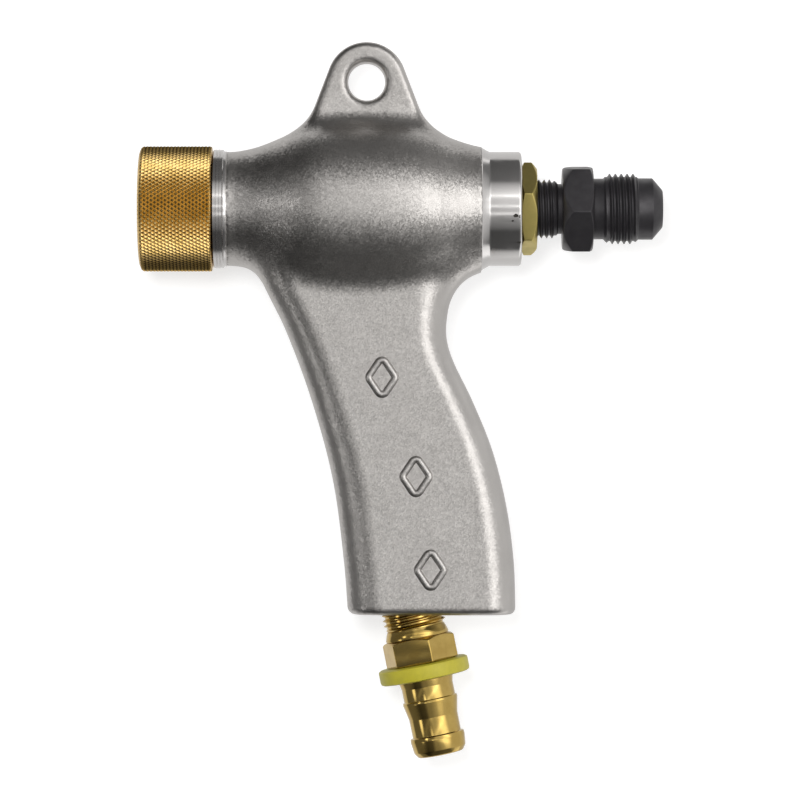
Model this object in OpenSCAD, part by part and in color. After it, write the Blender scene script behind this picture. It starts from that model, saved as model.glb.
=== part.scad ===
// Suction blast gun: a cast aluminium pistol body that draws abrasive up through its grip and
// drives it out of a hard nozzle with a jet of compressed air.
// Frame: origin at the middle of the nozzle's outlet, barrel axis along X, outlet facing -X,
// air inlet facing +X, hanging eye up (+Z), grip down (-Z). Millimetres.

/* [Nozzle] */
// Diameter of the nozzle's bore
nozzle_bore_d = 7.94; // [4.7:0.01:10]
// Length of the nozzle, outlet to inlet
nozzle_len = 42; // [36:0.5:44]
// Diameter of the nozzle jacket's tail
nozzle_tail_d = 19; // [17:0.1:20]
// Outer diameter of the knurled nozzle nut
nut_d = 33.8; // [33:0.1:36]
// Length of the knurled nozzle nut
nut_len = 19.7; // [18:0.1:21]

/* [Barrel] */
// Nominal diameter of the thread under the nozzle nut
nose_thread_d = 28.58; // [27:0.01:29]
// Largest diameter of the cast barrel
belly_d = 46.4; // [44:0.2:50]
// Diameter of the turned collar at the rear
collar_d = 30.8; // [29:0.1:33]
// Distance from the nozzle's outlet to the collar's rear face
collar_end = 102.9; // [100:0.1:106]

/* [Hanging eye] */
// Diameter of the hole
eye_d = 10.2; // [8:0.1:12]
// Outer radius of the eye
eye_r = 10.7; // [9.5:0.1:12]
// Thickness of the eye
eye_t = 8.4; // [6:0.1:10]
// Height of the hole's centre above the barrel axis
eye_z = 34.2; // [33:0.1:38]

/* [Grip] */
// Thickness of the grip between its flat side faces
grip_t = 26; // [24:0.2:28]
// Distance from the barrel axis to the grip's flat bottom
grip_drop = 109.2; // [105:0.2:112]
// Lean of the media passage from the vertical, degrees
hose_lean = 11.4; // [10:0.1:12]

/* [Air jet] */
// Nominal diameter of the adjusting thread
stem_d = 15.88; // [15:0.01:16]
// Diameter of the air orifice
orifice_d = 4; // [3:0.1:6]
// Width of the jet's hexagon across its flats
jet_af = 22.2; // [19:0.1:24]
// Nominal diameter of the air inlet's thread
inlet_d = 19.05; // [18:0.01:20]

/* [Hose fitting] */
// Width of the fitting's hexagon across its flats
barb_af = 17.46; // [16:0.01:19]
// Diameter over the last barb
barb_d = 14.4; // [13.8:0.1:15]
// Outer diameter of the plastic hose ring
ring_d = 24.4; // [22:0.1:26]

/* [Hidden] */
$fn = 96;

run_fit = 0.06;        // radial clearance of a thread or a sliding fit, both drawn as cylinders
over = 1;              // how far a cutter runs past the face that it leaves

lip = 3.5;             // the nut's front lip
flange_t = 3;          // the jacket's flange, held between the lip and the washer
washer_t = 1.9;
nose_x = lip + flange_t + washer_t;      // front face of the body's threaded nose
liner_r = 6.5;
bore_r = nozzle_tail_d / 2 + run_fit;    // body bore: nozzle seat and mixing chamber
thread_r = nose_thread_d / 2;
belly_r = belly_d / 2;
collar_r = collar_d / 2;

stem_r = stem_d / 2;
lock_t = 4.2;
hex_x = 114;           // front face of the jet's hexagon
hex_t = 8.2;
tip_x = 52;            // tip of the jet, in the mixing chamber
groove_x = 71;
groove_w = 2.4;
groove_r = 6.3;
ring_cord_r = 0.8;     // section radius of the jet's O-ring

eye_x = 61.2;
chamber_end = 62;      // rear end of the mixing chamber
grip_corner = 9.3;     // radius of the grip's lengthwise edges
hose_x = 51.6;         // where the media passage's axis crosses the barrel axis
media_r = 7.2;
npt_r = 8.57;
npt_top = 103;         // stations along the hose axis, from the barrel axis downward
hex_top = 118.2;
ring_top = 124.9;
ring_h = 4.2;
barb_end = 150;

// Radius of the cast barrel at stations along X
BARREL = [[24, 15.35], [29, 15.8], [35, 17.8], [41, 20.5], [46, belly_r - 1], [53, belly_r - 0.2],
          [60.5, belly_r], [68, belly_r - 0.2], [75, belly_r - 1], [80, 20.9], [84, 19],
          [88, 17.6], [92.1, 16.7]];
// Front and rear edges of the grip, [height, x], from the bottom up
GRIP_FRONT = [[-grip_drop, 56.2], [-95, 55.1], [-73, 52.1], [-52, 46.5], [-33, 39.5],
              [-19, 32.8], [-12, 31], [-4, 31]];
GRIP_REAR = [[-grip_drop, 101.3], [-95, 100.8], [-80, 98.8], [-65, 95], [-51.6, 89.6],
             [-40.8, 84.8], [-34.5, 83.4], [-27.8, 84.2], [-23.5, 86.1], [-19.2, 90.5],
             [-15, 94], [-4, 94]];
WAIST = GRIP_REAR[6];  // where the grip is narrowest
// Centres of the three raised marks on the grip's left face
MARKS = [[65.4, -45.5], [74.5, -72], [78.4, -97]];

// Smooth curve through points [station, value], with rising stations
function _slope(p, i) = let (a = max(i - 1, 0), b = min(i + 1, len(p) - 1))
    (p[b][1] - p[a][1]) / (p[b][0] - p[a][0]);
function _span(p, s, i = 0) = i >= len(p) - 2 || s < p[i + 1][0] ? i : _span(p, s, i + 1);
function smooth(p, s) = let (i = _span(p, s), h = p[i + 1][0] - p[i][0], t = (s - p[i][0]) / h)
    p[i][1] * (2 * pow(t, 3) - 3 * t * t + 1) + _slope(p, i) * h * (pow(t, 3) - 2 * t * t + t)
    + p[i + 1][1] * (3 * t * t - 2 * pow(t, 3)) + _slope(p, i + 1) * h * (pow(t, 3) - t * t);

// Solid of revolution about the barrel axis, from points [radius, x]
module lathe(points) rotate([0, 90, 0]) rotate_extrude() polygon(points);
module rod(r, x0, x1) translate([x0, 0, 0]) rotate([0, 90, 0]) cylinder(r = r, h = x1 - x0);
// The children's -Z becomes the hose axis, with the origin on the barrel axis
module on_hose_axis() translate([hose_x, 0, 0]) rotate([0, -hose_lean, 0]) children();
module hose_lathe(points) on_hose_axis() rotate_extrude() polygon([for (p = points) [p[0], -p[1]]]);
module hose_rod(r, t0, t1) on_hose_axis() translate([0, 0, -t1]) cylinder(r = r, h = t1 - t0);
// Hexagon along Z with its corners turned off at both ends by the given chamfer lengths
module chamfered_hex(af, h, low, high) {
    corner = af / cos(30) / 2;
    face = af / 2 - 0.2;
    intersection() {
        cylinder(r = corner, h = h, $fn = 6);
        rotate_extrude() polygon([[0, 0], [face, 0], [corner + 0.1, low], [corner + 0.1, h - high],
                                  [face, h], [0, h]]);
    }
}

// ---- gun body ----

module barrel_casting() {
    steps = 40;
    x0 = BARREL[0][0];
    x1 = BARREL[len(BARREL) - 1][0];
    round_r = 1;
    lathe(concat(
        [[0, nose_x], [thread_r - 1, nose_x], [thread_r, nose_x + 1], [thread_r, nut_len + 0.2],
         [16.1, nut_len + 0.2], [15.9, 21.5], [15.4, 23.2], [14.9, 23.5]],
        [for (i = [0:steps]) let (x = x0 + (x1 - x0) * i / steps) [smooth(BARREL, x), x]],
        [[collar_r, 94.2]],
        [for (a = [0:15:90]) [collar_r - round_r * (1 - cos(a)), collar_end - round_r * (1 - sin(a))]],
        [[0, collar_end]]));
}

// A quarter of an ellipse at height z, from angle a0
function quarter(cx, cy, rx, ry, a0, z) =
    [for (a = [a0:15:a0 + 90]) [cx + rx * cos(a), cy + ry * sin(a), z]];
// One closed ring of the grip at height z, pulled in by inset all round
function grip_ring(z, inset) = let (
        front = smooth(GRIP_FRONT, z) + inset,
        rear = smooth(GRIP_REAR, z) - inset,
        corner = grip_corner - inset,
        side = grip_t / 2 - grip_corner,
        web = z > WAIST[0] ? 1.2 * max(0, rear - WAIST[1]) : 0,
        tail = grip_corner - 1.5 - inset + web)
    concat(quarter(front + corner, -side, corner, corner, 180, z),
           quarter(rear - tail, -side, tail, corner, 270, z),
           quarter(rear - tail, side, tail, corner, 0, z),
           quarter(front + corner, side, corner, corner, 90, z));

module grip_casting() {
    edge = 2;
    heights = [-104, -98, -91, -84, -77, -70, -63, -56, -50, -44, -39, -35, -31, -28, -25,
               -22.5, -20, -17.5, -15, -10, -4];
    rings = concat(
        [for (a = [0:30:90]) grip_ring(-grip_drop + edge * (1 - cos(a)), edge * (1 - sin(a)))],
        [for (z = heights) grip_ring(z, 0)]);
    n = len(rings[0]);
    m = len(rings);
    polyhedron(convexity = 6, points = [for (r = rings) each r], faces = concat(
        [[for (k = [0:n - 1]) k]],
        [for (j = [0:m - 2], k = [0:n - 1]) let (k2 = (k + 1) % n)
            [j * n + k, (j + 1) * n + k, (j + 1) * n + k2, j * n + k2]],
        [[for (k = [n - 1:-1:0]) (m - 1) * n + k]]));
}

// Tapered lug on top of the barrel, round at the eye
module eye_casting() {
    flank = 21;            // lean of the two flanks from the vertical
    foot_z = 14;
    reach = (eye_z + eye_r * sin(flank) - foot_z) / cos(flank);
    foot = eye_r * [cos(flank), sin(flank)] + reach * [sin(flank), -cos(flank)];
    steps = 24;
    translate([eye_x, eye_t / 2, eye_z]) rotate([90, 0, 0]) linear_extrude(eye_t)
        polygon(concat([[-foot[0], foot[1]], foot], [for (i = [0:steps])
            let (a = flank + (180 - 2 * flank) * i / steps) eye_r * [cos(a), sin(a)]]));
}

// Raised lozenge outline on the grip's left face
module mark(x, z) {
    w = 4.4;
    h = 5.5;
    line = 0.62;           // the inner lozenge's share of the outer one
    translate([x, -grip_t / 2 + 0.5, z]) rotate([90, 0, 0]) linear_extrude(1.1) difference() {
        polygon([[w, 0], [0, h], [-w, 0], [0, -h]]);
        polygon([[w, 0], [0, h], [-w, 0], [0, -h]] * line);
    }
}

module gun_body() color([0.66, 0.65, 0.64]) difference() {
    union() {
        barrel_casting();
        grip_casting();
        eye_casting();
        for (m = MARKS) mark(m[0], m[1]);
    }
    rod(bore_r, nose_x - over, chamber_end);
    rod(stem_r + run_fit, chamber_end - over, collar_end + over);
    hose_rod(media_r, 0, npt_top);
    hose_rod(npt_r + 0.02, npt_top - 2, hex_top + 0.7);
    translate([eye_x, 0, eye_z]) rotate([90, 0, 0])
        cylinder(d = eye_d, h = eye_t + 2 * over, center = true);
}

// ---- nozzle ----

module nozzle_nut() color([0.72, 0.55, 0.2]) {
    r = nut_d / 2;
    hole = thread_r + run_fit;
    lathe([[11, 0], [r - 1.5, 0], [r, 1.6], [r, nut_len - 0.6], [r - 0.6, nut_len],
           [hole, nut_len], [hole, lip], [11, lip]]);
}

module nozzle_jacket() color([0.7, 0.7, 0.72]) {
    hole = liner_r + 0.02;
    tail = nozzle_tail_d / 2;
    lathe([[hole, 0], [10.4, 0], [10.9, 0.5], [10.9, lip], [13.9, lip], [13.9, lip + flange_t],
           [tail, lip + flange_t], [tail, nozzle_len - 0.6], [tail - 0.6, nozzle_len],
           [hole, nozzle_len]]);
}

module nozzle_liner() color([0.9, 0.88, 0.82]) {
    r = nozzle_bore_d / 2;
    lathe([[r, 0], [liner_r, 0], [liner_r, nozzle_len], [liner_r - 0.7, nozzle_len],
           [r, nozzle_len - 11]]);
}

module nozzle_washer() color([0.12, 0.12, 0.12])
    lathe([[9.8, lip + flange_t], [13.8, lip + flange_t], [13.8, nose_x], [9.8, nose_x]]);

// ---- air jet ----

module air_jet() color([0.16, 0.15, 0.17]) difference() {
    inlet_r = inlet_d / 2;
    union() {
        lathe([[0, tip_x], [3.4, tip_x], [6.3, tip_x + 9], [6.3, 68], [7.9, 69], [7.9, groove_x],
               [groove_r, groove_x], [groove_r, groove_x + groove_w], [7.9, groove_x + groove_w],
               [7.9, 78], [7, 78], [7, 79], [stem_r, 79.9], [stem_r, 112.2], [6.75, 113],
               [6.75, hex_x + hex_t / 2], [8.2, hex_x + hex_t / 2], [8.2, 125.3], [8.7, 125.3],
               [inlet_r, 126.1], [inlet_r, 133.9], [8.3, 134.8], [8.3, 138.2], [5.5, 141],
               [0, 141]]);
        translate([hex_x, 0, 0]) rotate([0, 90, 0]) rotate(36)
            chamfered_hex(jet_af, hex_t, 1.4, 0.7);
    }
    rod(orifice_d / 2, tip_x - over, 67);
    rod(4.5, 66, 142);
}

module jet_o_ring() color([0.08, 0.08, 0.08]) rotate([0, 90, 0]) rotate_extrude()
    translate([(stem_r + run_fit + groove_r) / 2, groove_x + groove_w / 2])
        circle(r = ring_cord_r);

module jet_lock_nut() color([0.68, 0.62, 0.25]) translate([collar_end, 0, 0]) rotate([0, 90, 0])
    difference() {
        rotate(13.6) chamfered_hex(jet_af, lock_t, 0.3, 1.6);
        translate([0, 0, -over]) cylinder(r = stem_r + run_fit, h = lock_t + 2 * over);
    }

// ---- hose fitting ----

module hose_barb() color([0.75, 0.6, 0.32]) {
    bore = 4.8;
    land = 6.6;
    last = barb_d / 2;
    difference() {
        union() {
            hose_lathe([[0, npt_top], [npt_r - 0.9, npt_top], [npt_r, npt_top + 1.2], [npt_r, hex_top],
                        [npt_r, ring_top - 1], [land, ring_top - 1], [land, 129.3],
                        [last, 129.3], [last - 0.25, 131.3], [last - 0.25, 134.9],
                        [last, 134.9], [last, 135.6], [land, 139.8], [land, 144.8],
                        [last, 144.8], [last, 148.6], [6.2, barb_end], [0, barb_end]]);
            on_hose_axis() translate([0, 0, -ring_top]) rotate(46.3)
                chamfered_hex(barb_af, ring_top - hex_top, 0.4, 0.4);
        }
        hose_rod(bore, npt_top - over, barb_end + over);
    }
}

module hose_ring() color([0.84, 0.85, 0.2]) {
    r = ring_d / 2;
    edge = 0.6;
    hole = 6.6 + run_fit;
    top = ring_top + 0.05;
    foot = ring_top + ring_h;
    hose_lathe([[hole, top], [r - edge, top], [r, top + edge], [r, foot - edge], [r - edge, foot],
                [hole, foot]]);
}

gun_body();
nozzle_nut();
nozzle_jacket();
nozzle_liner();
nozzle_washer();
air_jet();
jet_o_ring();
jet_lock_nut();
hose_barb();
hose_ring();
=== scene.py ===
"""Looks of the suction blast gun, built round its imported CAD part.

Lengths are in millimetres until a mesh is made. X runs from the muzzle to the air inlet, and Z is up.
"""
import itertools
import math

import bmesh
import bpy
import numpy as np
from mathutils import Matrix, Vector


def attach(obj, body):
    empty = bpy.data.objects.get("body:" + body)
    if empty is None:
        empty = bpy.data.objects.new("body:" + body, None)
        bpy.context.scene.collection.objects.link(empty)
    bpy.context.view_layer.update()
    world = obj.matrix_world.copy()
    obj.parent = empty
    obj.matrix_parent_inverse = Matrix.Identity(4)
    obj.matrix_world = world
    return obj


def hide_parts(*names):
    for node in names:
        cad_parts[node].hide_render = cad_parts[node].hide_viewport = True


MM = 0.001
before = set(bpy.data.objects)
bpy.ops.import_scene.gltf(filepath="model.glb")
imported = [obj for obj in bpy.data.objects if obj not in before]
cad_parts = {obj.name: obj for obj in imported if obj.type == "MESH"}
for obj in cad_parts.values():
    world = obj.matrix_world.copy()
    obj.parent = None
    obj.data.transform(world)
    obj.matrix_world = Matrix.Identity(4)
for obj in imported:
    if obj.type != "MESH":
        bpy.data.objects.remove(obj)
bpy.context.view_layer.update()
rng = np.random.default_rng(7)


# ---------------------------------------------------------------- places

HOSE_LEAN = math.radians(11.4)
HOSE_X = 51.6


def axis_frame(origin, axis):
    """Origin, direction toward the gun's left side, one at right angles to it, and axis: right-handed."""
    axis = np.array(axis, float)
    left = np.array([0.0, -1.0, 0.0])
    return np.array(origin, float), left, np.cross(axis, left), axis


BARREL_AXIS = axis_frame((0, 0, 0), (1, 0, 0))
HOSE_AXIS = axis_frame((HOSE_X, 0, 0), (math.sin(HOSE_LEAN), 0, -math.cos(HOSE_LEAN)))


# ---------------------------------------------------------------- nodes

def plug(nt, socket, value):
    """Links an output to the socket, or sets a plain value on it."""
    if isinstance(value, (int, float, tuple)):
        socket.default_value = value
    else:
        nt.links.new(value, socket)


def noise(nt, scale, detail, stretch=None):
    """A noise texture in object space; scale is in features per metre, stretched by the given factors."""
    coords = nt.nodes.new("ShaderNodeTexCoord")
    mapping = nt.nodes.new("ShaderNodeMapping")
    mapping.inputs["Scale"].default_value = stretch or (1, 1, 1)
    tex = nt.nodes.new("ShaderNodeTexNoise")
    tex.inputs["Scale"].default_value = scale
    tex.inputs["Detail"].default_value = detail
    nt.links.new(coords.outputs["Object"], mapping.inputs["Vector"])
    nt.links.new(mapping.outputs["Vector"], tex.inputs["Vector"])
    return tex.outputs["Fac"]


def remap(nt, value, low, high, to_low, to_high):
    """Takes the range from low to high to the range from to_low to to_high, and holds it there beyond."""
    node = nt.nodes.new("ShaderNodeMapRange")
    for socket, v in zip(("From Min", "From Max", "To Min", "To Max"), (low, high, to_low, to_high)):
        node.inputs[socket].default_value = v
    nt.links.new(value, node.inputs["Value"])
    return node.outputs["Result"]


def blend(nt, factor, a, b):
    """Goes from a to b, two numbers or two colours, as the factor goes from 0 to 1."""
    node = nt.nodes.new("ShaderNodeMix")
    nt.links.new(factor, node.inputs["Factor"])
    # the node has its own two inputs and its own output for each kind of value
    if isinstance(a, tuple):
        node.data_type, first, result = "RGBA", 6, 2
        a, b = (*a, 1), (*b, 1)
    else:
        node.data_type, first, result = "FLOAT", 2, 0
    plug(nt, node.inputs[first], a)
    plug(nt, node.inputs[first + 1], b)
    return node.outputs[result]


def math_node(nt, kind, operation, a, b=None):
    node = nt.nodes.new(kind)
    node.operation = operation
    plug(nt, node.inputs[0], a)
    if b is not None:
        plug(nt, node.inputs[1], b)
    return node


def math_value(nt, operation, a, b=None):
    return math_node(nt, "ShaderNodeMath", operation, a, b).outputs[0]


def vector_math(nt, operation, a, b=None):
    return math_node(nt, "ShaderNodeVectorMath", operation, a, b).outputs["Vector"]


def vector_value(nt, operation, a, b=None):
    """For the operations that make a number from vectors."""
    return math_node(nt, "ShaderNodeVectorMath", operation, a, b).outputs["Value"]


def facets(nt, layers):
    """The surface normal, tilted at random in small cells; layers are (cells per metre, tilt)."""
    normal = nt.nodes.new("ShaderNodeNewGeometry").outputs["Normal"]
    coords = nt.nodes.new("ShaderNodeTexCoord")
    for scale, tilt in layers:
        cells = nt.nodes.new("ShaderNodeTexVoronoi")
        cells.inputs["Scale"].default_value = scale
        nt.links.new(coords.outputs["Object"], cells.inputs["Vector"])
        centred = vector_math(nt, "SUBTRACT", cells.outputs["Color"], (0.5, 0.5, 0.5))
        lean = vector_math(nt, "MULTIPLY", centred, (tilt, tilt, tilt))
        normal = vector_math(nt, "ADD", normal, lean)
    return vector_math(nt, "NORMALIZE", normal)


def bumped(nt, height, strength, distance, normal=None):
    node = nt.nodes.new("ShaderNodeBump")
    node.inputs["Strength"].default_value = strength
    node.inputs["Distance"].default_value = distance * MM
    nt.links.new(height, node.inputs["Height"])
    if normal is not None:
        nt.links.new(normal, node.inputs["Normal"])
    return node.outputs["Normal"]


# ---------------------------------------------------------------- materials

CLOUDS = 0.35, 0.65    # where a noise's patches begin and end
PATCHES = 0.3, 0.7    # the same for a softer change


def shader(name, color, rough, metallic=1.0):
    mat = bpy.data.materials.new(name)
    mat.use_nodes = True
    bsdf = mat.node_tree.nodes["Principled BSDF"]
    bsdf.inputs["Base Color"].default_value = (*color, 1)
    bsdf.inputs["Roughness"].default_value = rough
    bsdf.inputs["Metallic"].default_value = metallic
    mat.diffuse_color = (*color, 1)
    return mat, mat.node_tree, bsdf


def cast_aluminium():
    """Tumbled casting: satin, with fine facets that sparkle and slightly cloudy patches."""
    mat, nt, bsdf = shader("cast_aluminium", (0.52, 0.505, 0.49), 0.34)
    clouds = remap(nt, noise(nt, 160, 3.0), *CLOUDS, 0, 1)
    nt.links.new(blend(nt, clouds, (0.51, 0.495, 0.48), (0.54, 0.525, 0.51)), bsdf.inputs["Base Color"])
    nt.links.new(remap(nt, noise(nt, 420, 3.0), *PATCHES, 0.31, 0.38), bsdf.inputs["Roughness"])
    grain = facets(nt, [(2900, 0.15), (1300, 0.035)])
    nt.links.new(bumped(nt, noise(nt, 330, 2.0), 0.08, 0.1, grain), bsdf.inputs["Normal"])
    return mat


def turned_metal(name, color, rough, lines=0.25, spread=0.06, axis="x", tint=None, metallic=1.0):
    """Lathe-turned metal: fine rings round the axis that the stretch leaves in the noise."""
    mat, nt, bsdf = shader(name, color, rough, metallic)
    stretch = {"x": (1, 0.02, 0.02), "z": (0.02, 0.02, 1)}[axis]
    rings = noise(nt, 9000, 3.0, stretch)
    cloud = noise(nt, 300, 3.0)
    if tint:
        nt.links.new(blend(nt, remap(nt, cloud, *CLOUDS, 0, 1), color, tint), bsdf.inputs["Base Color"])
    nt.links.new(remap(nt, cloud, *PATCHES, rough - spread, rough + spread), bsdf.inputs["Roughness"])
    nt.links.new(bumped(nt, rings, lines, 0.006), bsdf.inputs["Normal"])
    return mat


def moulded(name, color, rough, tint):
    """Plastic, rubber or ceramic with a fine grain."""
    mat, nt, bsdf = shader(name, color, rough, 0.0)
    clouds = remap(nt, noise(nt, 500, 3.0), *CLOUDS, 0, 1)
    nt.links.new(blend(nt, clouds, color, tint), bsdf.inputs["Base Color"])
    nt.links.new(bumped(nt, noise(nt, 3000, 2.0), 0.15, 0.03), bsdf.inputs["Normal"])
    return mat


MATERIALS = {
    "cast_aluminium": cast_aluminium(),
    "turned_aluminium": turned_metal("turned_aluminium", (0.62, 0.61, 0.605), 0.15, 0.35, 0.05),
    # near-black for the inside of the collar's pores: painted shade where the hollow holes would be dark
    "pore_painted_shade": moulded("pore_painted_shade", (0.03, 0.028, 0.026), 0.8, (0.05, 0.045, 0.04)),
    "nut_brass": turned_metal("nut_brass", (0.74, 0.515, 0.20), 0.17, 0.15, 0.04, tint=(0.63, 0.425, 0.14)),
    "jacket_aluminium": turned_metal("jacket_aluminium", (0.72, 0.72, 0.73), 0.25),
    "nozzle_ceramic": moulded("nozzle_ceramic", (0.84, 0.81, 0.74), 0.55, (0.78, 0.75, 0.68)),
    "seal_rubber": moulded("seal_rubber", (0.02, 0.02, 0.02), 0.6, (0.03, 0.03, 0.03)),
    "jet_steel": turned_metal("jet_steel", (0.05, 0.048, 0.052), 0.34, 0.3, 0.06, tint=(0.038, 0.036, 0.04),
                              metallic=0.5),
    "lock_nut_brass": turned_metal("lock_nut_brass", (0.57, 0.47, 0.16), 0.4, 0.2, 0.05,
                                   tint=(0.50, 0.42, 0.14)),
    "barb_brass": turned_metal("barb_brass", (0.565, 0.405, 0.125), 0.12, 0.3, 0.04, "z",
                               tint=(0.49, 0.34, 0.097)),
    "ring_plastic": moulded("ring_plastic", (0.47, 0.42, 0.032), 0.45, (0.42, 0.375, 0.03)),
}


# ---------------------------------------------------------------- meshes

SHARP = math.radians(38)    # edges that turn more than this stay crisp


def finish_mesh(obj):
    """Merges doubled points, turns every face outward and keeps real edges crisp."""
    bm = bmesh.new()
    bm.from_mesh(obj.data)
    bmesh.ops.remove_doubles(bm, verts=bm.verts, dist=2e-7)
    bmesh.ops.dissolve_degenerate(bm, edges=bm.edges, dist=1e-8)
    bmesh.ops.recalc_face_normals(bm, faces=bm.faces)
    bm.to_mesh(obj.data)
    bm.free()
    obj.data.shade_smooth()
    obj.data.set_sharp_from_angle(angle=SHARP)
    return obj


def add_object(name, points_mm, faces, materials=()):
    mesh = bpy.data.meshes.new(name)
    mesh.from_pydata((np.asarray(points_mm) * MM).tolist(), [], faces)
    obj = bpy.data.objects.new(name, mesh)
    bpy.context.scene.collection.objects.link(obj)
    for m in materials:
        mesh.materials.append(MATERIALS[m])
    return obj


def outline(points):
    """Corners (radius, station[, edge radius]) to a line of (radius, station) with its corners rounded."""
    line = []
    for i, point in enumerate(points):
        here = np.array(point[:2], float)
        edge = point[2] if len(point) > 2 else 0
        if not edge or i in (0, len(points) - 1):
            line.append(tuple(here))
            continue
        u, v = (np.array(points[k][:2], float) - here for k in (i - 1, i + 1))
        u, v = u / np.linalg.norm(u), v / np.linalg.norm(v)
        half = 0.5 * math.acos(np.clip(u @ v, -1, 1))
        bisector = (u + v) / np.linalg.norm(u + v)
        centre = here + bisector * edge / math.sin(half)
        a, b = (here + w * edge / math.tan(half) - centre for w in (u, v))
        a0, a1 = math.atan2(a[1], a[0]), math.atan2(b[1], b[0])
        turn = (a1 - a0 + math.pi) % (2 * math.pi) - math.pi
        steps = max(2, math.ceil(abs(turn) / math.radians(22)))
        for s in range(steps + 1):
            angle = a0 + turn * s / steps
            line.append(tuple(centre + edge * np.array([math.cos(angle), math.sin(angle)])))
    return line


def even_columns(count):
    return np.arange(count) * 2 * math.pi / count


def hex_columns(corner_deg):
    """Directions for a hexagon, close together at its six corners."""
    steps = (-29.5, -24, -18.5, -13, -9, -6, -4, -2.6, -1.5, -0.7, 0, 0.7, 1.5, 2.6, 4, 6, 9, 13, 18.5, 24)
    return np.radians(np.sort([(corner_deg + 60 * k + s) % 360 for k in range(6) for s in steps]))


THREAD_STEPS = 4    # corners in one pitch of a thread's profile


class Turned:
    """A closed skin of rings of points round an axis; a ring may vary in radius and station on its way."""

    def __init__(self, phi):
        self.phi = phi
        self.rings, self.splits = [], []
        self.thread_ends = {}    # ring -> last ring of its thread, for all but that last one

    def ring(self, r, x, split=None):
        """Adds a ring; split is the diagonal, 1 or 2, that divides the faces from it to the next ring."""
        n = len(self.phi)
        self.rings.append([np.broadcast_to(np.asarray(v, float), n) for v in (r, x)])
        self.splits.append(split)
        return self

    def line(self, points):
        for r, x in outline(points):
            self.ring(r, x)
        return self

    def thread(self, major, pitch, x0, x1, rise0=1.0, rise1=1.0):
        """Right-hand V thread from x0 to x1 that comes up from its root over the lengths rise0 and rise1."""
        depth = 0.541 * pitch    # of a standard 60 degree thread
        corners = ((0.02, 0), (0.125, 0), (0.4375, depth), (0.6875, depth))    # share of a turn, depth
        along = pitch * (self.phi - self.phi[0]) / (2 * math.pi)
        first, start, j = len(self.rings), -math.inf, -1 - THREAD_STEPS
        while start < x1:
            share, cut = corners[j % THREAD_STEPS]
            start = x0 + (j // THREAD_STEPS + share) * pitch
            x = np.clip(start + along, x0, x1)
            room = np.clip(np.minimum((x - x0) / rise0, (x1 - x) / rise1), 0, 1)
            self.ring(major - np.maximum(cut, depth * (1 - room)), x)
            j += 1
        last = len(self.rings) - 1
        self.thread_ends.update({i: last for i in range(first, last)})
        return self

    def hexagon(self, across, corner_deg, x0, x1, cham0, cham1):
        """Hexagon from x0 to x1 with its corners turned off at both ends and its edges a little worn."""
        tip, relief, worn = 0.25, 0.25, 0.12    # radius of the corners, turned end inside the flats, wear
        offset = (np.degrees(self.phi) - corner_deg + 30) % 60 - 30
        inner = (across / 2 - tip) / math.cos(math.radians(30))
        a = np.radians(np.abs(offset))
        flat = across / 2 / np.cos(math.radians(30) - a)
        side = inner * np.sin(a)
        rounded = inner * np.cos(a) + np.sqrt(np.maximum(tip ** 2 - side ** 2, 0))
        r = np.where(side < tip * math.sin(math.radians(30)), rounded, flat)
        face = across / 2 - relief
        corner = across / math.cos(math.radians(30)) / 2
        run0, run1 = ((r - face) / (corner - face) * c for c in (cham0, cham1))
        self.ring(face - worn, x0).ring(face + worn * 0.3, x0 + worn * 0.4)
        for run, end, way in ((run0, x0, 1), (run1, x1, -1)):
            edge = end + way * run
            soft = [(r - worn * 0.8, edge - way * worn * np.minimum(1, run / 0.3)), (r - worn * 0.15, edge),
                    (r, edge + way * worn)]
            for radius, x in soft[::way]:
                self.ring(radius, x)
        return self.ring(face + worn * 0.3, x1 - worn * 0.4).ring(face - worn, x1)

    def knurl(self, r, x0, x1, repeat, depth, steps):
        """Diamond knurl cut below radius r, rounded off at x0; the columns are steps per half diamond."""
        rounding = 1.2    # radius of the edge at x0
        flat = 0.8    # share of a diamond's height at which its point is cut off
        rows = round((x1 - x0) / (repeat / 2 / steps))
        c = np.arange(len(self.phi))
        cell = 2 * steps
        for i in range(rows + 1):    # the two sets of grooves cross at the lowest points
            from_a, from_b = (i + c) % cell, (i - c) % cell
            height = np.minimum(np.minimum(from_a, cell - from_a), np.minimum(from_b, cell - from_b)) / steps
            height = np.minimum(height, flat) / flat
            split = np.where((i + c + 1) % cell == 0, 2, 1) if i < rows else None
            x = x0 + (x1 - x0) * i / rows
            drop = rounding - math.sqrt(rounding ** 2 - max(rounding - (x - x0), 0) ** 2)
            self.ring(r - drop - depth * (1 - height) * (1 - 0.6 * drop / rounding), x, split=split)
        return self

    def build(self, name, place, materials=(), closed=True):
        origin, e1, e2, axis = place
        n, m = len(self.phi), len(self.rings)
        r = np.array([g[0] for g in self.rings])
        x = np.array([g[1] for g in self.rings])
        outward = np.cos(self.phi)[:, None] * e1 + np.sin(self.phi)[:, None] * e2
        points = (origin + x[..., None] * axis + r[..., None] * outward).reshape(-1, 3)
        faces = []
        col = np.arange(n)
        nxt = (col + 1) % n
        for i in range(m if closed else m - 1):
            k = (i + 1) % m
            left = np.stack([i * n + col, k * n + col])
            right = np.stack([i * n + nxt, k * n + nxt])
            if i in self.thread_ends:    # once round, the thread meets the ring one pitch further on
                right[:, -1] = [min(row + THREAD_STEPS, self.thread_ends[i]) * n for row in (i, k)]
            quads = np.stack([left[0], right[0], right[1], left[1]], 1)
            split = self.splits[i]
            if split is None:
                faces += quads.tolist()
            else:
                for q, s in zip(quads.tolist(), np.broadcast_to(split, n)):
                    faces += ([[q[0], q[1], q[2]], [q[0], q[2], q[3]]] if s == 1 else
                              [[q[0], q[1], q[3]], [q[1], q[2], q[3]]])
        return finish_mesh(add_object(name, points, faces, materials))


# ---------------------------------------------------------------- casting

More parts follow.
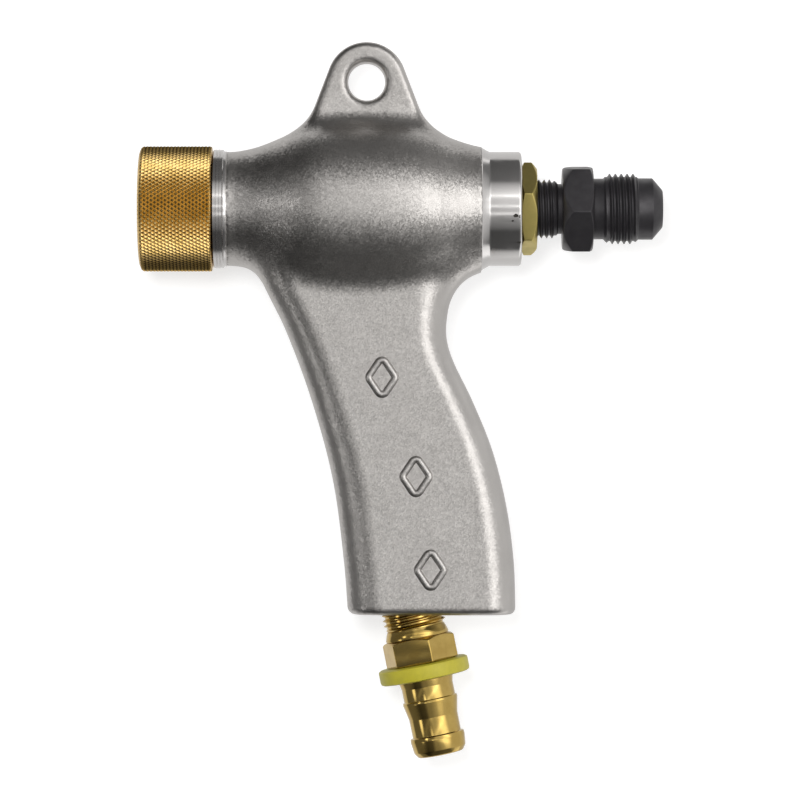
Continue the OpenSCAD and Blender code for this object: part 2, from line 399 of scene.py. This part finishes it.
# outlines of the casting: station along the barrel and radius, then height and x of the grip's two edges
BARREL = [(24, 15.35), (29, 15.8), (35, 17.8), (41, 20.5), (46, 22.2), (53, 23.0), (60.5, 23.2), (68, 23.0),
          (75, 22.2), (80, 20.9), (84, 19), (88, 17.6), (92.1, 16.7)]
GRIP_FRONT = [(-109.2, 56.2), (-95, 55.1), (-73, 52.1), (-52, 46.5), (-33, 39.5), (-19, 32.8), (-12, 31),
              (-4, 31)]
GRIP_REAR = [(-109.2, 101.3), (-95, 100.8), (-80, 98.8), (-65, 95), (-51.6, 89.6), (-40.8, 84.4),
             (-34.5, 82.7), (-27.8, 83.1), (-23.5, 84.5), (-19.2, 87.5), (-15.8, 91.3), (-12.5, 92.6),
             (-4, 93)]
BARREL_EVENING = 3.5    # how far each way the barrel's outline is evened out
BARREL_FRONT, BARREL_REAR = 23.6, 92.15
WAIST_Z, WAIST_X = -34.5, 82.7    # the grip's narrowest place, at its rear edge
GRIP_HALF, GRIP_FLOOR, GRIP_TOP, FLOOR_EDGE = 13.0, -109.2, -3, 2.0
FRONT_EDGE, REAR_EDGE = 9.3, 7.8    # radius of the grip's front edges, depth of its rear ones
EYE_X, EYE_Z, EYE_R, EYE_HALF, EYE_HOLE = 61.2, 34.2, 10.7, 4.2, 4.95
LUG_Z, LUG_R, LUG_EDGE = 4.2, 21.45, 2.0    # the big end of the hanging lug
GRIP_FILLET, LUG_FILLET = 4.2, 5.5
COLLAR_R = 15.4
# casting pores in the collar: centre and size; and the marks on the grip: x and z
PORES = [(101.2, -15.26, -2.4, 0.6), (100.3, -14.98, -3.8, 0.3), (101.9, -12.17, -9.5, 0.35)]
MARKS = [(65.4, -45.5), (74.5, -72), (78.4, -97)]


def hermite(points, s):
    """Smooth curve through the points, and its slope, at s."""
    p = np.array(points, float)
    s = np.clip(s, p[0, 0], p[-1, 0])
    n = len(p)
    lo, hi = np.maximum(np.arange(n) - 1, 0), np.minimum(np.arange(n) + 1, n - 1)
    slope = (p[hi, 1] - p[lo, 1]) / (p[hi, 0] - p[lo, 0])
    i = np.clip(np.searchsorted(p[:, 0], s, side="right") - 1, 0, n - 2)
    h = p[i + 1, 0] - p[i, 0]
    t = (s - p[i, 0]) / h
    a, b, ma, mb = p[i, 1], p[i + 1, 1], slope[i] * h, slope[i + 1] * h
    value = (a * (2 * t**3 - 3 * t**2 + 1) + ma * (t**3 - 2 * t**2 + t) +
             b * (3 * t**2 - 2 * t**3) + mb * (t**3 - t**2))
    rate = (a * (6 * t**2 - 6 * t) + ma * (3 * t**2 - 4 * t + 1) +
            b * (6 * t - 6 * t**2) + mb * (3 * t**2 - 2 * t)) / h
    return value, rate


def meet(a, b, edge):
    """Both a and b, with the edge between them rounded."""
    a, b = a + edge, b + edge
    return np.minimum(np.maximum(a, b), 0) + np.hypot(np.maximum(a, 0), np.maximum(b, 0)) - edge


def join(a, b, k):
    """Either a or b, with a fillet between them."""
    h = np.maximum(k - np.abs(a - b), 0) / k
    return np.minimum(a, b) - h * h * k / 4


def barrel_field(x, y, z):
    reach = np.clip(np.minimum(x - BARREL[0][0], BARREL[-1][0] - x), 0, BARREL_EVENING)
    r, slope = sum(share * np.array(hermite(BARREL, x + side * reach))
                   for side, share in ((-1, 0.25), (0, 0.5), (1, 0.25)))
    wall = (np.hypot(y, z) - r) / np.sqrt(1 + slope**2)
    return np.maximum(wall, BARREL_FRONT - x)


def grip_field(x, y, z):
    front, rear = hermite(GRIP_FRONT, z)[0], hermite(GRIP_REAR, z)[0]
    tail = REAR_EDGE + np.where(z > WAIST_Z, 1.2 * np.maximum(rear - WAIST_X, 0), 0)
    along = np.maximum(front - x, (x - rear) * FRONT_EDGE / tail)
    wall = meet(along, np.abs(y) - GRIP_HALF, FRONT_EDGE)
    return np.maximum(meet(wall, GRIP_FLOOR - z, FLOOR_EDGE), z - GRIP_TOP)


def lug_field(x, y, z):
    px, pz = np.abs(x - EYE_X), z - LUG_Z
    h = EYE_Z - LUG_Z
    b = (LUG_R - EYE_R) / h
    a = math.sqrt(1 - b * b)
    k = -b * px + a * pz
    plate = np.where(k < 0, np.hypot(px, pz) - LUG_R,
                     np.where(k > a * h, np.hypot(px, pz - h) - EYE_R, px * a + pz * b - LUG_R))
    half = EYE_HALF + 0.03 * np.maximum(EYE_Z - 4 - z, 0)
    return meet(plate, np.abs(y) - half, LUG_EDGE)


def casting_field(p):
    """Distance to the casting's skin, negative inside. The grip's fillet gets smaller toward the rear."""
    x, y, z = p[..., 0], p[..., 1], p[..., 2]
    rearward = np.clip((x - 60) / 31, 0, 1)    # from the barrel's middle to the collar
    fillet = GRIP_FILLET - 1.0 * rearward**2 * (3 - 2 * rearward)
    body = join(barrel_field(x, y, z), grip_field(x, y, z), fillet)
    body = join(body, lug_field(x, y, z), LUG_FILLET)
    body = np.where(z > -30, np.maximum(body, x - BARREL_REAR), body)    # flat where the collar starts
    hole = EYE_HOLE + 0.6 * np.minimum(np.abs(y) / EYE_HALF, 1.2)**2 - np.hypot(x - EYE_X, z - EYE_Z)
    return np.where(z > 20, -join(-body, -hole, 1.6), body)    # the eye's hole, with its edges rounded


def surface_nets(field, origin, step):
    """The zero surface of a sampled field as points and four-sided faces."""
    inside = field < 0
    nx, ny, nz = (n - 1 for n in field.shape)
    corners = list(itertools.product((0, 1), repeat=3))
    count = sum(inside[i:nx + i, j:ny + j, k:nz + k].astype(np.int8) for i, j, k in corners)
    cells = np.argwhere((count > 0) & (count < 8))
    index = np.full((nx, ny, nz), -1)
    index[tuple(cells.T)] = np.arange(len(cells))
    total, hits = np.zeros((len(cells), 3)), np.zeros(len(cells))
    for a, b in itertools.combinations(np.array(corners), 2):
        if np.abs(b - a).sum() != 1:
            continue
        va, vb = field[tuple((cells + a).T)], field[tuple((cells + b).T)]
        cross = (va < 0) != (vb < 0)
        t = va[cross] / (va[cross] - vb[cross])
        total[cross] += a + t[:, None] * (b - a)
        hits[cross] += 1
    points = origin + step * (cells + total / hits[:, None])
    faces = []
    for axis in range(3):
        across, up = np.eye(3, dtype=int)[[(axis + 1) % 3, (axis + 2) % 3]]
        length = inside.shape[axis]
        lo, hi = (inside.take(range(i, length - 1 + i), axis) for i in (0, 1))
        at = np.argwhere(lo != hi)
        out = lo[tuple(at.T)]
        quads = np.stack([index[tuple((at - i * across - j * up).T)]
                          for i, j in ((1, 1), (0, 1), (0, 0), (1, 0))], 1)
        quads[~out] = quads[~out][:, ::-1]
        faces.append(quads)
    return points, np.concatenate(faces)


def settle(points):
    """Moves points onto the exact surface of the casting, in four rounds of slope over a small distance."""
    d = 0.04
    for _ in range(4):
        value = casting_field(points)
        slope = np.stack([(casting_field(points + d * e) - casting_field(points - d * e)) / (2 * d)
                          for e in np.eye(3)], 1)
        size = np.maximum((slope**2).sum(1), 0.2)
        points = points - np.clip(value / size, -0.3, 0.3)[:, None] * slope
    return points


def casting():
    step = 0.62
    lo, hi = np.array([21.9, -25.1, -111.3]), np.array([103.5, 25.1, 47.0])
    axes = [np.arange(a, b, step) for a, b in zip(lo, hi)]
    grid = np.stack(np.meshgrid(*axes, indexing="ij"), -1)
    points, faces = surface_nets(casting_field(grid), lo, step)
    points = settle(points)
    # slow waves leave the sides a few hundredths of a millimetre short of true
    waves = rng.normal(0, 0.22, (6, 3))
    phases = rng.uniform(0, 6.28, 6)
    sway = np.sin(points @ waves.T + phases).sum(1) * 0.02
    inward = np.array([0.0, 1.0, 0.0]) * np.sign(points[:, 1:2])
    cast = (points[:, 0] > 24.5) & (points[:, 0] < 91)
    points = points - np.where(cast, np.abs(sway), 0)[:, None] * inward
    return finish_mesh(add_object("casting", points, faces.tolist()))


def mark(x, z):
    """A rounded ridge in the shape of a lozenge, on the grip's left face."""
    corner, reach, high = 1.25, 2.23, 3.3    # radius of the corners, and how far their centres are out
    ridge = 0.78    # height
    lean = math.degrees(math.atan2(4.4, 5.5))
    path = []
    for (vx, vz), middle, sweep in (((reach, 0), 0, lean), ((0, high), 90, 90 - lean),
                                    ((-reach, 0), 180, lean), ((0, -high), 270, 90 - lean)):
        path += [((vx, vz), math.radians(middle + sweep * s / 5)) for s in range(-5, 6)]
    section = [(o, ridge * (1 - abs(o) ** 2.8) if abs(o) < 1 else -0.35) for o in
               (-1.02, -0.99, -0.95, -0.86, -0.7, -0.45, 0, 0.45, 0.7, 0.86, 0.95, 0.99, 1.02)]
    section += [(0.9, -1.0), (-0.9, -1.0)]
    points = [(x + v[0] + (corner + o) * math.cos(a), -GRIP_HALF - h, z + v[1] + (corner + o) * math.sin(a))
              for v, a in path for o, h in section]
    n, m = len(section), len(path)
    faces = [[i * n + k, i * n + (k + 1) % n, (i + 1) % m * n + (k + 1) % n, (i + 1) % m * n + k]
             for i in range(m) for k in range(n)]
    return finish_mesh(add_object("mark", points, faces))


def combine(obj, other, operation):
    """Joins other to obj, or cuts it away."""
    mod = obj.modifiers.new("combine", "BOOLEAN")
    mod.object, mod.operation, mod.solver = other, operation, "MANIFOLD"
    mesh = bpy.data.meshes.new_from_object(obj.evaluated_get(bpy.context.evaluated_depsgraph_get()))
    obj.modifiers.clear()
    obj.data = mesh
    bpy.data.objects.remove(other)


def nose():
    skin = Turned(even_columns(128)).line([(9, 8.4), (13.3, 8.4)])
    skin.thread(14.29, 2.1167, 8.4, 19.8, 1.6, 1.2)
    skin.line([(15.6, 19.9), (16.0, 20.15), (16.05, 20.9), (15.9, 21.0), (15.9, 21.15), (16.02, 21.25),
               (16.02, 21.75), (15.88, 21.85), (15.88, 22.0), (15.98, 22.1), (15.98, 22.6), (15.7, 22.75),
               (15.55, 22.85), (15.5, 23.4), (15.2, 23.9), (12, 24.5), (12, 36), (9, 36)])
    return skin.build("nose", BARREL_AXIS)


def collar():
    skin = Turned(even_columns(128)).line([
        (7, 84), (13, 84), (13, 91), (16.2, 91.9), (16.66, 92.14), (16.5, 92.3, 0.1), (15.62, 93.9),
        (15.42, 94.3, 0.2), (COLLAR_R, 94.8), (COLLAR_R, 102.9, 0.9), (7, 102.9)])
    return skin.build("collar", BARREL_AXIS)


def rod(r, x0, x1, place=BARREL_AXIS, columns=96):
    skin = Turned(even_columns(columns)).line([(0, x0), (r, x0), (r, x1), (0, x1)])
    return skin.build("rod", place, closed=False)


def pore(x, y, z, size):
    """A small casting pore that breaks through the collar."""
    centre = np.array([x, y, z])
    bm = bmesh.new()
    bmesh.ops.create_icosphere(bm, subdivisions=2, radius=1)
    for v in bm.verts:
        bump = 1 + 0.25 * math.sin(5 * v.co.x + 3 * v.co.z)
        offset = Vector((v.co.x * size * 1.2, v.co.y * size, v.co.z * size * 0.8))
        v.co = Vector(centre * MM) + offset * bump * MM
    mesh = bpy.data.meshes.new("pore")
    bm.to_mesh(mesh)
    bm.free()
    obj = bpy.data.objects.new("pore", mesh)
    bpy.context.scene.collection.objects.link(obj)
    return obj


def gun_body():
    body = casting()
    body.name = "gun_body_look"
    for part in [nose(), collar()] + [mark(*m) for m in MARKS]:
        combine(body, part, "UNION")
    nozzle_bore, jet_bore = rod(9.56, 6, 62), rod(8.06, 61, 104)
    media_bore, barb_bore = rod(7.2, 0.5, 104, HOSE_AXIS, 64), rod(8.59, 101, 122, HOSE_AXIS)
    mouth = Turned(even_columns(96)).line([(0, 102.4), (8.1, 102.4), (8.7, 103.1), (0, 103.1)])
    mouth = mouth.build("mouth", BARREL_AXIS, closed=False)
    for cut in [nozzle_bore, jet_bore, media_bore, barb_bore, mouth, *[pore(*p) for p in PORES]]:
        combine(body, cut, "DIFFERENCE")
    body.data.materials.clear()
    for m in ("cast_aluminium", "turned_aluminium", "pore_painted_shade"):
        body.data.materials.append(MATERIALS[m])
    finish_mesh(body)
    for face in body.data.polygons:
        c = face.center / MM
        off = math.hypot(c.y, c.z)
        on_nose = c.x < BARREL_FRONT + 0.02
        on_collar = c.x > BARREL_REAR - 0.02 and off < 17.5
        from_hose_axis = (c.x - HOSE_X) * math.cos(HOSE_LEAN) + c.z * math.sin(HOSE_LEAN)
        in_bore = off < 9.7 or (c.z < -8 and math.hypot(from_hose_axis, c.y) < 8.7)
        in_pore = off < COLLAR_R - 0.02 and any((c - Vector(p[:3])).length < 1.7 * p[3] for p in PORES)
        # faces inside the pores take the near-black painted shade
        face.material_index = 2 if in_pore else 1 if on_nose or on_collar or in_bore else 0
    return body


# ---------------------------------------------------------------- turned pieces

def nozzle_nut():
    diamonds, steps = 92, 3    # round the nut, and columns in half of one
    skin = Turned(even_columns(diamonds * 2 * steps))
    skin.line([(11.0, 3.5), (11.0, 0.35), (11.35, 0), (15.0, 0), (15.4, 0.05)])
    skin.knurl(16.9, 0.2, 19.4, 1.85, 0.38, steps)
    skin.line([(16.3, 19.6), (16.1, 19.7), (14.9, 19.7), (14.35, 19.2), (14.35, 3.5)])
    return skin.build("nozzle_nut_look", BARREL_AXIS, ["nut_brass"])


def nozzle_jacket():
    skin = Turned(even_columns(96)).line([
        (6.52, 0.25), (6.75, 0), (10.5, 0), (10.9, 0.4), (10.9, 3.5), (13.6, 3.5), (13.9, 3.8), (13.9, 6.3),
        (13.7, 6.5), (9.7, 6.5), (9.5, 6.8), (9.5, 41.4), (8.9, 42), (6.52, 42)])
    return skin.build("nozzle_jacket_look", BARREL_AXIS, ["jacket_aluminium"])


def nozzle_liner():
    skin = Turned(even_columns(96)).line([
        (3.97, 0.45), (4.45, 0, 0.3), (6.3, 0, 0.15), (6.5, 0.25), (6.5, 41.8), (6.3, 42), (5.8, 42, 0.1),
        (3.97, 31, 2)])
    return skin.build("nozzle_liner_look", BARREL_AXIS, ["nozzle_ceramic"])


def nozzle_washer():
    skin = Turned(even_columns(96)).line([
        (9.8, 6.7), (10, 6.5), (13.6, 6.5), (13.8, 6.7), (13.8, 8.2), (13.6, 8.4), (10, 8.4), (9.8, 8.2)])
    return skin.build("nozzle_washer_look", BARREL_AXIS, ["seal_rubber"])


def air_jet():
    corner = 6
    skin = Turned(hex_columns(corner))
    skin.line([(2, 52), (3.2, 52, 0.3), (3.4, 52.2), (6.3, 61, 1), (6.3, 68), (7.9, 69), (7.9, 70.8),
               (7.7, 71), (6.3, 71), (6.3, 73.4), (7.7, 73.4), (7.9, 73.6), (7.9, 77.8), (7.7, 78),
               (7.05, 78.1), (7.05, 79.6)])
    skin.thread(7.94, 1.411, 79.7, 112.4, 1.0, 0.9)
    skin.line([(7.0, 112.5), (6.75, 112.75), (6.75, 113.8), (7.0, 114)])
    skin.hexagon(22.2, corner, 114, 122.2, 2.7, 1.1)
    skin.line([(8.5, 122.2), (8.2, 122.45), (8.2, 124.9), (8.35, 125.2), (8.6, 125.35)])
    skin.thread(9.525, 1.5875, 125.4, 134.1, 1.1, 1.0)
    skin.line([(8.55, 134.15), (8.3, 134.5), (8.3, 138.1), (8.24, 138.3), (5.35, 140.75), (4.98, 141),
               (4.75, 141), (4.5, 140.75), (4.5, 67.2), (4.3, 66.6), (2, 66)])
    return skin.build("air_jet_look", BARREL_AXIS, ["jet_steel"])


def jet_o_ring():
    skin = Turned(even_columns(96))
    for a in even_columns(20):
        skin.ring(7.15 + 0.8 * math.cos(a), 72.2 + 0.8 * math.sin(a))
    return skin.build("jet_o_ring_look", BARREL_AXIS, ["seal_rubber"])


def jet_lock_nut():
    corner = -16.4
    skin = Turned(hex_columns(corner)).line([(8.0, 103.3), (8.35, 102.9)])
    skin.hexagon(22.2, corner, 102.92, 107.1, 0.8, 1.6)
    skin.line([(8.6, 107.1), (8.0, 106.6)])
    return skin.build("jet_lock_nut_look", BARREL_AXIS, ["lock_nut_brass"])


def hose_barb():
    corner = -16.3
    skin = Turned(hex_columns(corner)).line([(4.8, 103.3), (5.0, 103), (7.4, 103)])
    skin.thread(8.4, 1.411, 103.1, 115.2, 1.0, 1.0)
    skin.line([(7.9, 115.3), (8.0, 115.7), (8.15, 116), (8.62, 117.5), (8.5, 117.85)])
    skin.hexagon(17.46, corner, 117.9, 124.9, 0.9, 0.3)
    skin.line([(6.9, 124.9), (6.6, 125.1), (6.6, 129.2), (7.3, 129.25), (7.4, 129.4, 0.1), (7.0, 131.2, 0.5),
               (7.0, 134.7, 0.15), (7.4, 134.85, 0.1), (7.45, 135.4, 0.3), (6.62, 139.6, 0.5),
               (6.6, 144.5, 0.15), (7.3, 144.7, 0.1), (7.4, 145.6, 0.3), (7.05, 148.6, 0.6),
               (6.3, 149.75, 0.2), (5.95, 150), (5.1, 150), (4.8, 149.7)])
    return skin.build("hose_barb_look", HOSE_AXIS, ["barb_brass"])


def hose_ring():
    skin = Turned(even_columns(128)).line([
        (6.66, 125.3), (7.0, 124.97), (11.5, 124.97), (12.1, 125.3), (12.2, 125.8), (12.2, 128.2),
        (12.05, 128.8), (11.5, 129.08), (7.0, 129.08), (6.66, 128.8)])
    return skin.build("hose_ring_look", HOSE_AXIS, ["ring_plastic"])


PIECES = [
    (gun_body, "gun", "gun_body", "cast_aluminium"),
    (nozzle_nut, "nut", "nozzle_nut", "nut_brass"),
    (nozzle_jacket, "nozzle", "nozzle_jacket", "jacket_aluminium"),
    (nozzle_liner, "nozzle", "nozzle_liner", "nozzle_ceramic"),
    (nozzle_washer, "nozzle", "nozzle_washer", "seal_rubber"),
    (air_jet, "jet", "air_jet", "jet_steel"),
    (jet_o_ring, "jet_seal", "jet_o_ring", "seal_rubber"),
    (jet_lock_nut, "lock_nut", "jet_lock_nut", "lock_nut_brass"),
    (hose_barb, "gun", "hose_barb", "barb_brass"),
    (hose_ring, "ring", "hose_ring", "ring_plastic"),
]


def build_pieces():
    for make, body, node, slot in PIECES:
        obj = make()
        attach(obj, body)
        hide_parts(node)
        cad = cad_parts[node]
        cad.data.materials.clear()
        cad.data.materials.append(MATERIALS[slot])


# ---------------------------------------------------------------- stage

# Brightness of the studio by angle: degrees from the front side, upward (positive) or downward (negative)
STUDIO = [(-180, 0.85), (-120, 0.85), (-100, 0.6), (-92, 0.09), (-48, 0.07), (-40, 0.18), (-16, 0.38),
          (-12, 1.4), (-8, 0.55), (1, 0.64), (3, 1.8), (6, 0.72), (18, 0.8), (22, 1.0), (24, 2.2), (27, 1.05),
          (38, 0.74), (48, 0.5), (56, 0.16), (90, 0.12), (114, 0.12), (122, 0.85), (180, 0.85)]
LEFT_SHARE, RIGHT_SHARE = 0.3, 1.8    # of the bands' brightness, toward the nozzle and toward the air inlet
LEFT_GREY, RIGHT_GREY = 0.18, 0.8    # far out to the two sides, where the bands end
LEFT_REAR, RIGHT_REAR = 0.85, 0.72    # behind the gun, where its outline reflects
SOFTBOXES = [  # direction, half width in degrees, softness in degrees, strength
    ((0.63, -0.77, 0.05), 4, 20, 0.9),
    ((-0.76, -0.64, 0.1), 3, 4, 3.2),
    ((-0.88, -0.40, -0.27), 3, 6, 1.9),
    ((-0.36, -0.93, 0.0), 1.5, 4, 1.8),
]


def studio():
    world = bpy.data.worlds.new("studio")
    bpy.context.scene.world = world
    world.use_nodes = True
    nt = world.node_tree
    background = nt.nodes["Background"]
    direction = nt.nodes.new("ShaderNodeTexCoord").outputs["Generated"]
    split = nt.nodes.new("ShaderNodeSeparateXYZ")
    nt.links.new(direction, split.inputs[0])
    x, y, z = split.outputs
    height = math_value(nt, "ARCTAN2", z, math_value(nt, "MULTIPLY", y, -1.0))
    ramp = nt.nodes.new("ShaderNodeValToRGB")
    stops = ramp.color_ramp.elements
    for deg, _ in STUDIO[1:-1]:
        stops.new((deg + 180) / 360)
    top = max(value for _, value in STUDIO)
    for stop, (_, value) in zip(stops, STUDIO):
        stop.color = (value / top,) * 3 + (1,)
    nt.links.new(remap(nt, height, -math.pi, math.pi, 0, 1), ramp.inputs[0])
    value = math_value(nt, "MULTIPLY", ramp.outputs["Color"], top)
    value = math_value(nt, "MULTIPLY", value, remap(nt, x, -0.36, -0.18, LEFT_SHARE, 1.0))
    value = math_value(nt, "MULTIPLY", value, remap(nt, x, 0.05, 0.45, 1.0, RIGHT_SHARE))
    # toward the sides and the rear the bands fade into one even grey
    aside = remap(nt, math_value(nt, "ABSOLUTE", x), 0.67, 0.88, 0, 1)
    value = blend(nt, aside, value, remap(nt, x, -0.6, 0.6, LEFT_GREY, RIGHT_GREY))
    value = blend(nt, remap(nt, y, 0.42, 0.55, 0, 1), value, remap(nt, x, -0.5, 0.5, LEFT_REAR, RIGHT_REAR))
    for toward, half, soft, strength in SOFTBOXES:
        near = vector_value(nt, "DOT_PRODUCT", direction, tuple(Vector(toward).normalized()))
        outer, inner = math.cos(math.radians(half + soft)), math.cos(math.radians(half))
        value = math_value(nt, "ADD", value, remap(nt, near, outer, inner, 0, strength))
    # what shows past the backdrop is plain
    seen = nt.nodes.new("ShaderNodeLightPath").outputs["Is Camera Ray"]
    nt.links.new(blend(nt, seen, value, 0.8), background.inputs["Strength"])
    background.inputs["Color"].default_value = (1.0, 0.985, 0.97, 1)


def backdrop():
    """White sheet close behind the gun; it can't be seen from its back."""
    bm = bmesh.new()
    bmesh.ops.create_grid(bm, x_segments=1, y_segments=1, size=3)
    mesh = bpy.data.meshes.new("backdrop")
    bm.to_mesh(mesh)
    bm.free()
    obj = bpy.data.objects.new("backdrop", mesh)
    obj.location = (0.07, 0.027, -0.05)
    obj.rotation_euler = (math.radians(90), 0, 0)
    bpy.context.scene.collection.objects.link(obj)
    mat, nt, bsdf = shader("backdrop", (0.5, 0.5, 0.5), 0.9, 0.0)
    bsdf.inputs["Specular IOR Level"].default_value = 0.0
    bsdf.inputs["Emission Color"].default_value = (1, 1, 1, 1)
    coords = nt.nodes.new("ShaderNodeTexCoord")
    away = vector_value(nt, "LENGTH", coords.outputs["Object"])
    # the sheet glows, brightest round the gun and dimmer farther out: a painted pool of light, not lit by a
    # lamp
    nt.links.new(remap(nt, away, 0.14, 0.34, 0.66, 0.2), bsdf.inputs["Emission Strength"])
    clear = nt.nodes.new("ShaderNodeBsdfTransparent")
    side = nt.nodes.new("ShaderNodeNewGeometry")
    mix = nt.nodes.new("ShaderNodeMixShader")
    nt.links.new(side.outputs["Backfacing"], mix.inputs["Fac"])
    nt.links.new(bsdf.outputs[0], mix.inputs[1])
    nt.links.new(clear.outputs[0], mix.inputs[2])
    nt.links.new(mix.outputs[0], nt.nodes["Material Output"].inputs["Surface"])
    mesh.materials.append(mat)
    obj.visible_glossy = False


def lamp(name, spot, aim, size, power):
    data = bpy.data.lights.new(name, "AREA")
    data.shape, data.size, data.energy = "DISK", size, power
    obj = bpy.data.objects.new(name, data)
    obj.location = spot
    obj.rotation_euler = (Vector(aim) - Vector(spot)).to_track_quat("-Z", "Y").to_euler()
    obj.visible_glossy = False
    bpy.context.scene.collection.objects.link(obj)


def camera():
    data = bpy.data.cameras.new("camera")
    data.lens, data.sensor_width = 200, 36
    obj = bpy.data.objects.new("camera", data)
    obj.location = (0.0702, -1.2, -0.05157)
    obj.rotation_euler = (math.radians(90), 0, 0)
    bpy.context.scene.collection.objects.link(obj)
    bpy.context.scene.camera = obj


build_pieces()
studio()
backdrop()
lamp("key", (-0.03, -1.0, 0.07), (0.07, 0, -0.04), 0.2, 4.8)
camera()
bpy.context.scene.view_settings.view_transform = "Standard"
